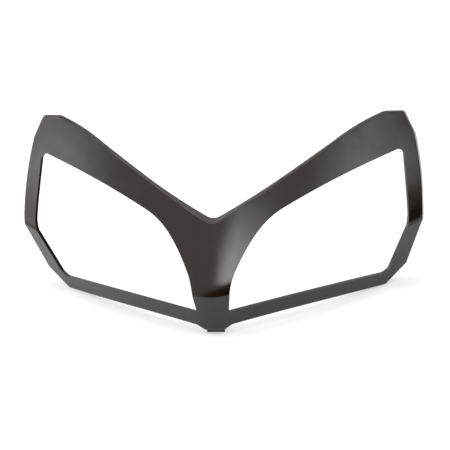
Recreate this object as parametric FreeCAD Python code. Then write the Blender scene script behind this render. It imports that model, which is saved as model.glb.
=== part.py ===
import FreeCAD, Part
import math
import os

# Headlight fairing: a one-piece gloss-black moulded surround for a pair of headlamps.
# It stands on its bottom fixing tab and on the lower corners of its two wings.
# +X is to the right as seen from the front, +Y runs to the back, +Z is up.
# The origin is the centre of the bottom screw hole, on the floor.

V = FreeCAD.Vector

# Skin: the plan of the crease that runs round the part
nose_radius = 43.0
nose_half_angle = 25.0
wing_radius = 690.0
crease_height = 46.0
crease_tilt = 9.5

# Skin above the crease
crease_lean = 21.0
upper_lean = 50.0
shoulder_radius = 30.0
brow_height = 140.0
brow_nose_radius = 135.0
brow_half_angle = 19.7
brow_wing_radius = 500.0

# Skin below the crease
chin_height = 75.0
chin_lean = 14.5
chin_nose_radius = 38.0
chin_half_angle = 28.0
chin_wing_radius = 690.0

# Wall
plan_wall = 3.3
edge_radius = 2.0
rim_width = 2.8
rim_depth = 5.5
notch_softening = 70.0
side_rim_depth = 11.0
side_rim_start = 160.0
side_rim_top = 133.0
side_rim_slant = 60.0
bottom_rim_top = 40.0

# Outline, half of it, seen square from the front: across X and up Z
notch_z = 98.6
notch_radius = 16.0
arm_bend = (110.0, 143.7)
arm_swell = (134.0, 152.4)
tip_inner = (154.5, 156.6)
tip_outer = (173.0, 152.6)
tip_inner_radius = 10.0
tip_outer_radius = 6.0
shoulder = (181.8, 135.5)
side_middle = (187.9, 108.0)
side_crease_x = 190.6
side_kink = (171.6, 17.2)
corner = (151.2, -0.2)
corner_radius = 3.0
sill_middle = (95.0, 8.7)
sill_inner = (16.4, 10.4)
foot = (9.1, 5.5)
sill_radius = 4.0
foot_radius = 2.0

# Lamp opening, drawn square to the wing: along the wing and up Z
wing_angle = 38.0
opening_apex = (227.6, 126.9)
opening_brow = (158.0, 117.3)
opening_throat = (94.7, 103.2)
opening_shoulder = (70.8, 93.8)
opening_column = (51.8, 82.2)
opening_narrows = (32.1, 67.2)
opening_neck = (21.3, 56.7)
opening_waist = (16.3, 46.8)
opening_nose = (17.0, 27.0)
opening_sill = (110.0, 25.2)
opening_corner = (189.8, 15.2)
opening_chamfer = (205.6, 64.5)
opening_side = (227.6, 112.5)
apex_radius = 5.0
nose_corner_radius = 2.5
outer_corner_radius = 9.0
crease_corner_radius = 45.0

# Bottom fixing tab
tab_width = 16.6
tab_thickness = 2.6
tab_lip = 2.0
tab_web = 2.8
tab_front = 18.2
tab_hole_back = 19.0
tab_hole = 6.4
tab_edge_radius = 0.8

# Screw bosses behind the wing tips
boss_outboard = 2.5
boss_drop = 17.6
boss_x = tip_inner[0] + boss_outboard
boss_z = tip_inner[1] - boss_drop
boss_diameter = 10.0
boss_depth = 15.0
pilot_diameter = 3.6
pilot_depth = 11.0
gusset_thickness = 1.6
gusset_reach = 5.0

# Room that the skin has past the outline before it is trimmed
skin_margin = 15.0
half_span = side_crease_x + skin_margin
rear = 1.6 * half_span


def circle_of_wing(radius_nose, half_angle, radius_wing, back):
    """Centre of the right wing's plan arc, tangent to the nose arc."""
    reach = radius_nose - radius_wing
    angle = math.radians(half_angle)
    return reach * math.sin(angle), back + radius_nose - reach * math.cos(angle)


def nose_centre(centre, radius_wing, radius_nose):
    """Y of the centre of a nose arc that is tangent to both wing arcs."""
    return centre[1] - math.sqrt((radius_wing - radius_nose) ** 2 - centre[0] ** 2)


def plan_section(height, back, radius_nose, half_angle, radius_wing, inset, softening):
    """Closed plan of a skin at one height, in a plane parallel to the crease."""
    cx, cy = circle_of_wing(radius_nose, half_angle, radius_wing, back)
    rn = radius_nose + softening - inset
    rw = radius_wing - inset
    yc = nose_centre((cx, cy), rw, rn)
    meet = math.atan2(-cx, cy - yc)
    end = math.asin((half_span - cx) / rw)

    def on_wing(angle):
        return V(cx + rw * math.sin(angle), cy - rw * math.cos(angle), 0)

    def left(point):
        return V(-point.x, point.y, point.z)

    root = on_wing(meet)
    middle = on_wing((meet + end) / 2)
    tip = on_wing(end)
    front = V(0, yc - rn, 0)
    back_right = V(half_span, rear, 0)
    edges = [Part.Arc(left(tip), left(middle), left(root)).toShape(),
             Part.Arc(left(root), front, root).toShape(),
             Part.Arc(root, middle, tip).toShape(),
             Part.makeLine(tip, back_right),
             Part.makeLine(back_right, left(back_right)),
             Part.makeLine(left(back_right), left(tip))]
    rise = math.tan(math.radians(crease_tilt))
    shear = FreeCAD.Matrix(1, 0, 0, 0,
                           0, 1, 0, 0,
                           0, rise, 1, crease_height + height,
                           0, 0, 0, 1)
    return Part.Wire(edges).transformGeometry(shear)


def set_back(height):
    """How far the upper skin stands behind the crease: a shoulder arc, then a straight lean."""
    start = math.radians(crease_lean)
    full = math.radians(upper_lean)
    arc_height = shoulder_radius * (math.sin(full) - math.sin(start))
    if height < arc_height:
        angle = math.asin(math.sin(start) + height / shoulder_radius)
        return shoulder_radius * (math.cos(start) - math.cos(angle))
    arc_back = shoulder_radius * (math.cos(start) - math.cos(full))
    return arc_back + (height - arc_height) * math.tan(full)


def blend(low, high, share):
    return low + (high - low) * share


def skin_block(inset=0.0, back=0.0, softening=0.0):
    """Everything behind the skin, which is moved back and in by the given amounts."""
    upper = []
    for share in (0, 1 / 35, 2 / 35, 13 / 140, 3 / 14, 1 / 2, 1):
        height = share * brow_height
        upper.append(plan_section(height, back + set_back(height),
                                  blend(nose_radius, brow_nose_radius, share),
                                  blend(nose_half_angle, brow_half_angle, share),
                                  blend(wing_radius, brow_wing_radius, share), inset, softening))
    chin_back = chin_height * math.tan(math.radians(chin_lean))
    lower = [plan_section(0.0, back, nose_radius, nose_half_angle, wing_radius, inset, softening),
             plan_section(-chin_height, back + chin_back, chin_nose_radius, chin_half_angle,
                          chin_wing_radius, inset, softening)]
    top = Part.makeLoft(upper, True, False)
    bottom = Part.makeLoft(lower, True, True)
    return top.fuse(bottom)


def front(point):
    return V(point[0], 0, point[1])


def mirrored(point):
    return (-point[0], point[1])


def rounded_corner(before, corner_point, after, radius):
    """Start, middle and end of an arc that rounds a corner between two straight lines."""
    a = V(before.x - corner_point.x, 0, before.z - corner_point.z)
    b = V(after.x - corner_point.x, 0, after.z - corner_point.z)
    a.normalize()
    b.normalize()
    half = a.getAngle(b) / 2
    along = radius / math.tan(half)
    bisector = a + b
    bisector.normalize()
    centre = corner_point + bisector * (radius / math.sin(half))
    start = corner_point + a * along
    end = corner_point + b * along
    middle = centre - bisector * radius
    return start, middle, end


def crease_at(x):
    """Point of the front view where the crease passes a given X."""
    cx, cy = circle_of_wing(nose_radius, nose_half_angle, wing_radius, 0)
    y = cy - math.sqrt(wing_radius ** 2 - (x - cx) ** 2)
    return (x, crease_height + y * math.tan(math.radians(crease_tilt)))


def outline_wire():
    """The fairing's whole outline, seen square from the front."""
    side = front(crease_at(side_crease_x))
    notch = V(0, 0, notch_z)
    bend = front(arm_bend)
    notch_end = rounded_corner(front(mirrored(arm_bend)), notch, bend, notch_radius)
    tip_in = front(tip_inner)
    tip_out = front(tip_outer)
    high = front(shoulder)
    low = front(corner)
    kink = front(side_kink)
    round_in = rounded_corner(front(arm_swell), tip_in, tip_out, tip_inner_radius)
    round_out = rounded_corner(tip_in, tip_out, high, tip_outer_radius)
    round_low = rounded_corner(kink, low, front(sill_middle), corner_radius)
    round_sill = rounded_corner(front(sill_middle), front(sill_inner), front(foot), sill_radius)
    round_foot = rounded_corner(front(sill_inner), front(foot), front(mirrored(foot)), foot_radius)
    half = [Part.makeLine(notch_end[2], bend),
            Part.Arc(bend, front(arm_swell), round_in[0]).toShape(),
            Part.Arc(*round_in).toShape(),
            Part.makeLine(round_in[2], round_out[0]),
            Part.Arc(*round_out).toShape(),
            Part.makeLine(round_out[2], high),
            Part.Arc(high, front(side_middle), side).toShape(),
            Part.makeLine(side, kink),
            Part.makeLine(kink, round_low[0]),
            Part.Arc(*round_low).toShape(),
            Part.Arc(round_low[2], front(sill_middle), round_sill[0]).toShape(),
            Part.Arc(*round_sill).toShape(),
            Part.makeLine(round_sill[2], round_foot[0]),
            Part.Arc(*round_foot).toShape()]
    other = [edge.mirror(V(0, 0, 0), V(1, 0, 0)) for edge in half]
    joins = [Part.Arc(*notch_end).toShape(),
             Part.makeLine(round_foot[2], V(-round_foot[2].x, 0, round_foot[2].z))]
    return Part.Wire(Part.__sortEdges__(half + other + joins))


def prism(wire, direction):
    return Part.Face(wire).extrude(direction)


def opening_tool():
    """Right lamp opening, cut square through the wing."""
    points = {name: front(value) for name, value in
              (("apex", opening_apex), ("side", opening_side), ("chamfer", opening_chamfer),
               ("corner", opening_corner), ("nose", opening_nose))}
    throat = front(opening_throat)
    waist = front(opening_waist)
    apex = rounded_corner(front(opening_brow), points["apex"], points["side"], apex_radius)
    crease = rounded_corner(points["side"], points["chamfer"], points["corner"],
                            crease_corner_radius)
    outer = rounded_corner(points["chamfer"], points["corner"], front(opening_sill),
                           outer_corner_radius)
    nose = rounded_corner(front(opening_sill), points["nose"], waist, nose_corner_radius)
    column = Part.BSplineCurve()
    column.interpolate([waist, front(opening_neck), front(opening_narrows),
                        front(opening_column), front(opening_shoulder), throat])
    edges = [Part.Arc(throat, front(opening_brow), apex[0]).toShape(),
             Part.Arc(*apex).toShape(),
             Part.makeLine(apex[2], crease[0]),
             Part.Arc(*crease).toShape(),
             Part.makeLine(crease[2], outer[0]),
             Part.Arc(*outer).toShape(),
             Part.Arc(outer[2], front(opening_sill), nose[0]).toShape(),
             Part.Arc(*nose).toShape(),
             Part.makeLine(nose[2], waist),
             column.toShape()]
    depth = 90.0
    tool = prism(Part.Wire(edges), V(0, depth, 0))
    tool.translate(V(0, -depth / 2, 0))
    tool.rotate(V(0, 0, 0), V(0, 0, 1), wing_angle)
    return tool


def both_sides(shape):
    return [shape, shape.mirror(V(0, 0, 0), V(1, 0, 0))]


def skin_y(block, x, z):
    """Y of the skin of a block behind a point of the front view."""
    line = Part.makeLine(V(x, -rear, z), V(x, rear, z))
    hit = line.common(block)
    return min(vertex.Y for vertex in hit.Vertexes)


def sharp_edges(solid):
    """Edges of the skin: those where it meets the outline walls, and the crease."""
    chosen = []
    for edge in solid.Edges:
        middle = edge.valueAt((edge.FirstParameter + edge.LastParameter) / 2)
        normals = []
        for face in solid.ancestorsOfType(edge, Part.Face):
            u, v = face.Surface.parameter(middle)
            normals.append(face.normalAt(u, v))
        if min(n.y for n in normals) < -0.1 and max(n.y for n in normals) < 0.01:
            if min(n.dot(normals[0]) for n in normals) < 0.97:
                chosen.append(edge)
    return chosen


def bottom_tab():
    """Flat tab under the nose, hung from the bottom rim by a web, round about its screw hole."""
    half_width = tab_width / 2
    plate = Part.makeBox(tab_width, tab_hole_back, tab_thickness,
                         V(-half_width, tab_front, 0))
    lip = [edge for edge in plate.Edges
           if edge.BoundBox.YMax < tab_front + 0.01 and edge.BoundBox.XLength > half_width]
    plate = plate.makeFillet(tab_edge_radius, lip)
    end = Part.makeCylinder(half_width, tab_thickness, V(0, tab_front + tab_hole_back, 0))
    web = Part.makeBox(tab_width, tab_web, foot[1] + rim_width / 2 - tab_thickness / 2,
                       V(-half_width, tab_front + tab_lip, tab_thickness / 2))
    return plate.fuse([end, web])


def tip_boss(block, inner):
    """Round screw boss behind a wing tip, with a gusset on each side."""
    base = skin_y(block, boss_x, boss_z)
    post = Part.makeCylinder(boss_diameter / 2, boss_depth, V(boss_x, base, boss_z), V(0, 1, 0))
    reach = boss_diameter / 2 + gusset_reach
    gusset = Part.makeBox(2 * reach, boss_depth * 0.55, gusset_thickness,
                          V(boss_x - reach, base, boss_z - gusset_thickness / 2))
    return post.fuse(gusset).common(inner)


outer_block = skin_block()
outline = outline_wire()
body = outer_block.common(prism(outline, V(0, rear, 0)))
body = body.removeSplitter()
body = body.makeFillet(edge_radius, sharp_edges(body))
inner_outline = outline.makeOffset2D(-rim_width, 0)
inner_block = skin_block(inset=plan_wall)
cavity = inner_block.common(prism(inner_outline, V(0, rear, 0)))
hollow = body.cut(cavity)
low_zone = Part.makeBox(2 * half_span, rear, bottom_rim_top, V(-half_span, 0, 0))
side_zone = Part.makeBox(half_span, 2 * rear, rear, V(side_rim_start, -rear, -rear))
side_zone.rotate(V(0, 0, 0), V(1, 0, 0), -side_rim_slant)
side_rim_y = skin_y(outer_block, shoulder[0], side_rim_top) + (rim_depth + side_rim_depth) / 2
side_zone.translate(V(0, side_rim_y, side_rim_top))
zones = [low_zone] + both_sides(side_zone)
shallow = skin_block(back=rim_depth, softening=notch_softening)
deep = skin_block(back=side_rim_depth)
for zone in zones:
    shallow = shallow.cut(zone)
shell = hollow.cut(shallow)
zone = zones[0].fuse(zones[1:])
shell = shell.cut(deep.common(zone))
for tool in both_sides(opening_tool()):
    shell = shell.cut(tool)
added = [bottom_tab()]
added += both_sides(tip_boss(outer_block, skin_block(inset=1.0)))
shell = shell.fuse(added)
hole_y = tab_front + tab_hole_back
shell = shell.cut(Part.makeCylinder(tab_hole / 2, tab_thickness * 3, V(0, hole_y, -tab_thickness)))
boss_end = skin_y(outer_block, boss_x, boss_z) + boss_depth
pilot = Part.makeCylinder(pilot_diameter / 2, pilot_depth, V(boss_x, boss_end, boss_z), V(0, -1, 0))
for hole in both_sides(pilot):
    shell = shell.cut(hole)
shell = shell.removeSplitter()
shell.translate(V(0, -hole_y, 0))

os.makedirs("parts", exist_ok=True)
shell.exportStep("parts/fairing.step")
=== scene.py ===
import math
import bpy
from mathutils import Matrix, Vector

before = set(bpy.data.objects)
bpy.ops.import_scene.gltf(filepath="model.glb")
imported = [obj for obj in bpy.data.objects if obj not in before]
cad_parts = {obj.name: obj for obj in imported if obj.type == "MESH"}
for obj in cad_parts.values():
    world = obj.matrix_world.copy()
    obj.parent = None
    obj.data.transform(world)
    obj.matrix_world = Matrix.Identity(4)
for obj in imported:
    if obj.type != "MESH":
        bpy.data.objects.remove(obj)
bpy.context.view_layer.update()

# Fairing: one injection moulding in ABS, black right through, with a faint brown cast.
# The mould is polished on the side that shows, so that side comes out glossy and mirrors the
# room softly. The side towards the headlamps is left matt, with a fine grain.


def from_hex(text):
    """Linear colour of an sRGB hex value."""
    values = [int(text[i:i + 2], 16) / 255 for i in (1, 3, 5)]
    return [v / 12.92 if v <= 0.04045 else ((v + 0.055) / 1.055) ** 2.4 for v in values] + [1.0]


def add(tree, kind, settings=None, links=None):
    """Adds a node with its settings, and links its inputs to other nodes' outputs."""
    node = tree.nodes.new(kind)
    for name, value in (settings or {}).items():
        if isinstance(name, str) and name not in node.inputs:
            setattr(node, name, value)
        else:
            node.inputs[name].default_value = value
    for name, source in (links or {}).items():
        tree.links.new(source, node.inputs[name])
    return node


def bare_material(name):
    """A material whose node tree is still empty."""
    material = bpy.data.materials.new(name)
    material.use_nodes = True
    material.node_tree.nodes.clear()
    return material


MM = 0.001
ABS_BLACK = "#1f1209"
ABS_IOR = 1.53
GLOSS_ROUGHNESS = (0.13, 0.19)
MATT_ROUGHNESS = 0.48
MATT_START = 0.05
MATT_FULL = 0.3
SINK_WIDTH = 18 * MM
SINK_DEPTH = 0.04 * MM
PEEL_WIDTH = 2.2 * MM
PEEL_DEPTH = 0.006 * MM
GRAIN_WIDTH = 0.6 * MM
GRAIN_DEPTH = 0.03 * MM
CLOUD_WIDTH = 16.67 * MM
CLOUD_SPREAD = (0.35, 0.65)

black_abs = bare_material("moulded_black_abs")
moulding = black_abs.node_tree
place = add(moulding, "ShaderNodeTexCoord")
# Sink: the wall shrinks unevenly as it cools, so long reflections bend a little.
sink = add(moulding, "ShaderNodeTexNoise", {"Scale": 1 / SINK_WIDTH, "Detail": 0.0},
           {"Vector": place.outputs["Object"]})
sink_bump = add(moulding, "ShaderNodeBump", {"Strength": 1.0, "Distance": SINK_DEPTH},
                {"Height": sink.outputs["Fac"]})
# Peel: the polish of the mould leaves a very fine ripple in the gloss.
peel = add(moulding, "ShaderNodeTexNoise", {"Scale": 1 / PEEL_WIDTH, "Detail": 1.0},
           {"Vector": place.outputs["Object"]})
peel_bump = add(moulding, "ShaderNodeBump", {"Strength": 1.0, "Distance": PEEL_DEPTH},
                {"Height": peel.outputs["Fac"], "Normal": sink_bump.outputs["Normal"]})
# The matt side is the one whose surface looks back, towards the headlamps.
facing = add(moulding, "ShaderNodeSeparateXYZ", links={"Vector": place.outputs["Normal"]})
matt = add(moulding, "ShaderNodeMapRange",
           {"interpolation_type": "SMOOTHSTEP", "From Min": MATT_START, "From Max": MATT_FULL},
           {"Value": facing.outputs["Y"]})
# Grain: etched into the mould, and drawn coarser than the real one so that it shows.
grain = add(moulding, "ShaderNodeTexVoronoi", {"Scale": 1 / GRAIN_WIDTH, "feature": "SMOOTH_F1"},
            {"Vector": place.outputs["Object"]})
grain_share = add(moulding, "ShaderNodeMath", {"operation": "MULTIPLY"},
                  {0: grain.outputs["Distance"], 1: matt.outputs["Result"]})
grain_bump = add(moulding, "ShaderNodeBump", {"Strength": 1.0, "Distance": GRAIN_DEPTH},
                 {"Height": grain_share.outputs["Value"], "Normal": peel_bump.outputs["Normal"]})
# Cloud: handling dulls the gloss in faint patches.
cloud = add(moulding, "ShaderNodeTexNoise", {"Scale": 1 / CLOUD_WIDTH, "Detail": 3.0},
            {"Vector": place.outputs["Object"]})
gloss = add(moulding, "ShaderNodeMapRange",
            {"From Min": CLOUD_SPREAD[0], "From Max": CLOUD_SPREAD[1],
             "To Min": GLOSS_ROUGHNESS[0], "To Max": GLOSS_ROUGHNESS[1]},
            {"Value": cloud.outputs["Fac"]})
roughness = add(moulding, "ShaderNodeMix", {"data_type": "FLOAT", "B": MATT_ROUGHNESS},
                {"Factor": matt.outputs["Result"], "A": gloss.outputs["Result"]})
plastic = add(moulding, "ShaderNodeBsdfPrincipled",
              {"Base Color": from_hex(ABS_BLACK), "IOR": ABS_IOR},
              {"Roughness": roughness.outputs["Result"], "Normal": grain_bump.outputs["Normal"]})
add(moulding, "ShaderNodeOutputMaterial", links={"Surface": plastic.outputs["BSDF"]})

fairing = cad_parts["fairing"]
fairing.material_slots[0].material = black_abs
for face in fairing.data.polygons:
    face.use_smooth = True

# Floor: a sheet of matt white paper, large enough for the fairing's reflections and shadow.
# It glows only to the camera, in gloss and through clear things, so that it is as white as the
# background there, less the soft shadow that the fairing casts on it.
SHEET_FRONT = -0.42
SHEET_BACK = 1.2
SHEET_HALF_WIDTH = 0.62
PAPER = "#c2c2c2"
PAPER_ROUGHNESS = 0.9
PAPER_GLOW = 0.58
WHITE = (1.0, 1.0, 1.0, 1.0)


def flat_sheet(name, half_width, front, back, material):
    """A flat rectangle with one material, an object of its own apart from the fairing."""
    mesh = bpy.data.meshes.new(name)
    mesh.from_pydata([(-half_width, front, 0), (half_width, front, 0),
                      (half_width, back, 0), (-half_width, back, 0)], [], [(0, 1, 2, 3)])
    mesh.materials.append(material)
    sheet = bpy.data.objects.new(name, mesh)
    bpy.context.scene.collection.objects.link(sheet)
    return sheet


white_paper = bare_material("white_paper")
paper_tree = white_paper.node_tree
ray = add(paper_tree, "ShaderNodeLightPath")
seen = add(paper_tree, "ShaderNodeMath", {"operation": "MAXIMUM"},
           {0: ray.outputs["Is Camera Ray"], 1: ray.outputs["Is Glossy Ray"]})
shown = add(paper_tree, "ShaderNodeMath", {"operation": "MAXIMUM"},
            {0: seen.outputs["Value"], 1: ray.outputs["Is Transmission Ray"]})
glow = add(paper_tree, "ShaderNodeMath", {"operation": "MULTIPLY", 1: PAPER_GLOW},
           {0: shown.outputs["Value"]})
paper = add(paper_tree, "ShaderNodeBsdfPrincipled",
            {"Base Color": from_hex(PAPER), "Roughness": PAPER_ROUGHNESS,
             "Specular IOR Level": 0.0, "Emission Color": WHITE},
            {"Emission Strength": glow.outputs["Value"]})
add(paper_tree, "ShaderNodeOutputMaterial", links={"Surface": paper.outputs["BSDF"]})
flat_sheet("paper_sheet", SHEET_HALF_WIDTH, SHEET_FRONT, SHEET_BACK, white_paper)

# Studio: a pale ceiling, brighter overhead, a dark room in front and low, a tall window to the
# left that is brighter at its top, a soft lamp to the right and the white backdrop behind.
# The camera sees nothing but white past the fairing.
CEILING = 0.8
# Each oval: brightness, azimuth, elevation, half width, half height, softness of its edge.
OVERHEAD = (2.4, -150, 78, 34, 20, 0.6)
DARK_ROOM = (0.04, 36, -4, 98, 52, 0.35)
WINDOW = (1.9, -92, 12, 24, 38, 0.35)
WINDOW_TOP = (4.5, -95, 35, 23, 13.5, 0.35)
SIDE_LAMP = (3.2, 68, 44, 15, 11, 0.45)
BACKDROP = (1.0, 180, -8, 60, 22, 0.3)

world = bpy.data.worlds.new("studio")
bpy.context.scene.world = world
world.use_nodes = True
studio = world.node_tree
studio.nodes.clear()
direction = add(studio, "ShaderNodeTexCoord")


def soft_oval(tree, vector, shape, softness):
    """Share of a soft-edged oval, 1 at its middle and 0 from its edge outwards."""
    oval = add(tree, "ShaderNodeMapping", {"vector_type": "TEXTURE", **shape}, {"Vector": vector})
    inside = add(tree, "ShaderNodeTexGradient", {"gradient_type": "SPHERICAL"},
                 {"Vector": oval.outputs["Vector"]})
    share = add(tree, "ShaderNodeMapRange",
                {"interpolation_type": "SMOOTHSTEP", "From Min": 0.0, "From Max": softness},
                {"Value": inside.outputs["Fac"]})
    return share.outputs["Result"]


def lit(level, brightness, azimuth, elevation, half_width, half_height, softness):
    """Lays one oval over the light so far; angles are in degrees, azimuth from the front
    towards the right."""
    turn = math.radians(azimuth)
    tilt = math.radians(elevation)
    aim = (math.sin(turn) * math.cos(tilt), -math.cos(turn) * math.cos(tilt), math.sin(tilt))
    shape = {"Location": aim, "Rotation": (-tilt, 0, turn),
             "Scale": (math.radians(half_width), 1.0, math.radians(half_height))}
    share = soft_oval(studio, direction.outputs["Generated"], shape, softness)
    blend = add(studio, "ShaderNodeMix", {"data_type": "FLOAT", "B": brightness}, {"Factor": share})
    if isinstance(level, float):
        blend.inputs["A"].default_value = level
    else:
        studio.links.new(level, blend.inputs["A"])
    return blend.outputs["Result"]


light = CEILING
for oval in (OVERHEAD, DARK_ROOM, WINDOW, WINDOW_TOP, SIDE_LAMP, BACKDROP):
    light = lit(light, *oval)
room = add(studio, "ShaderNodeBackground", {"Color": WHITE}, {"Strength": light})
backdrop = add(studio, "ShaderNodeBackground", {"Color": WHITE, "Strength": 1.0})
ray = add(studio, "ShaderNodeLightPath")
straight = add(studio, "ShaderNodeMath", {"operation": "MAXIMUM"},
               {0: ray.outputs["Is Camera Ray"], 1: ray.outputs["Is Transmission Ray"]})
chosen = add(studio, "ShaderNodeMixShader", {},
             {"Fac": straight.outputs["Value"], 1: room.outputs["Background"],
              2: backdrop.outputs["Background"]})
add(studio, "ShaderNodeOutputWorld", links={"Surface": chosen.outputs["Shader"]})
bpy.context.scene.view_settings.view_transform = "Standard"

# Lamp: a small soft box with a cloth front, high to the right and close to the nose, so its
# gleam on the column fades up towards the notch. It is brightest in the middle, and clear
# towards its edge.
LAMP_PLACE = Vector((0.078, -0.128, 0.255))
LAMP_AIM = Vector((0.02, -0.008, 0.08))
LAMP_HALF_WIDTH = 0.117
LAMP_HALF_HEIGHT = 0.086
LAMP_BRIGHTNESS = 5.7
LAMP_SOFTNESS = 0.9

lamp_cloth = bare_material("lamp_cloth")
cloth = lamp_cloth.node_tree
place = add(cloth, "ShaderNodeTexCoord")
share = soft_oval(cloth, place.outputs["Object"],
                  {"Scale": (LAMP_HALF_WIDTH, LAMP_HALF_HEIGHT, 1.0)}, LAMP_SOFTNESS)
clear = add(cloth, "ShaderNodeBsdfTransparent")
bright = add(cloth, "ShaderNodeEmission", {"Strength": LAMP_BRIGHTNESS})
diffuser = add(cloth, "ShaderNodeMixShader", {},
               {"Fac": share, 1: clear.outputs["BSDF"], 2: bright.outputs["Emission"]})
add(cloth, "ShaderNodeOutputMaterial", links={"Surface": diffuser.outputs["Shader"]})
lamp = flat_sheet("soft_lamp", LAMP_HALF_WIDTH, -LAMP_HALF_HEIGHT, LAMP_HALF_HEIGHT, lamp_cloth)
lamp.location = LAMP_PLACE
lamp.rotation_euler = (LAMP_AIM - LAMP_PLACE).to_track_quat("-Z", "Y").to_euler()
lamp.visible_camera = False

# Camera: it stands in front, a little to the left and above, with a very long lens, so that
# the two wings hardly taper. The picture is turned a few degrees clockwise.
ELEVATION = math.radians(27.52)
TURN = math.radians(8.57)
ROLL = math.radians(4.54)
DISTANCE = 7.829
LENS = 666.3
SENSOR_WIDTH = 36.0
FAR_END = 30.0
NOSE_FRONT = Vector((0.0, -0.0372, 0.0))
FRAME_RIGHT = 0.01046
FRAME_UP = 0.1094

right = Vector((math.cos(TURN), math.sin(TURN), 0.0))
forward = Vector((-math.sin(TURN) * math.cos(ELEVATION),
                  math.cos(TURN) * math.cos(ELEVATION), -math.sin(ELEVATION)))
up = right.cross(forward)
rolled_right = right * math.cos(ROLL) - up * math.sin(ROLL)
rolled_up = right * math.sin(ROLL) + up * math.cos(ROLL)
eye = NOSE_FRONT - forward * DISTANCE
target = NOSE_FRONT + rolled_right * FRAME_RIGHT + rolled_up * FRAME_UP
look = (target - eye).normalized()
side = look.cross(rolled_up).normalized()
top = side.cross(look)

camera_data = bpy.data.cameras.new("camera")
camera_data.sensor_width = SENSOR_WIDTH
camera_data.lens = LENS
camera_data.clip_end = FAR_END
camera = bpy.data.objects.new("camera", camera_data)
bpy.context.scene.collection.objects.link(camera)
camera.matrix_world = Matrix((
    (side.x, top.x, -look.x, eye.x),
    (side.y, top.y, -look.y, eye.y),
    (side.z, top.z, -look.z, eye.z),
    (0.0, 0.0, 0.0, 1.0)))
bpy.context.scene.camera = camera
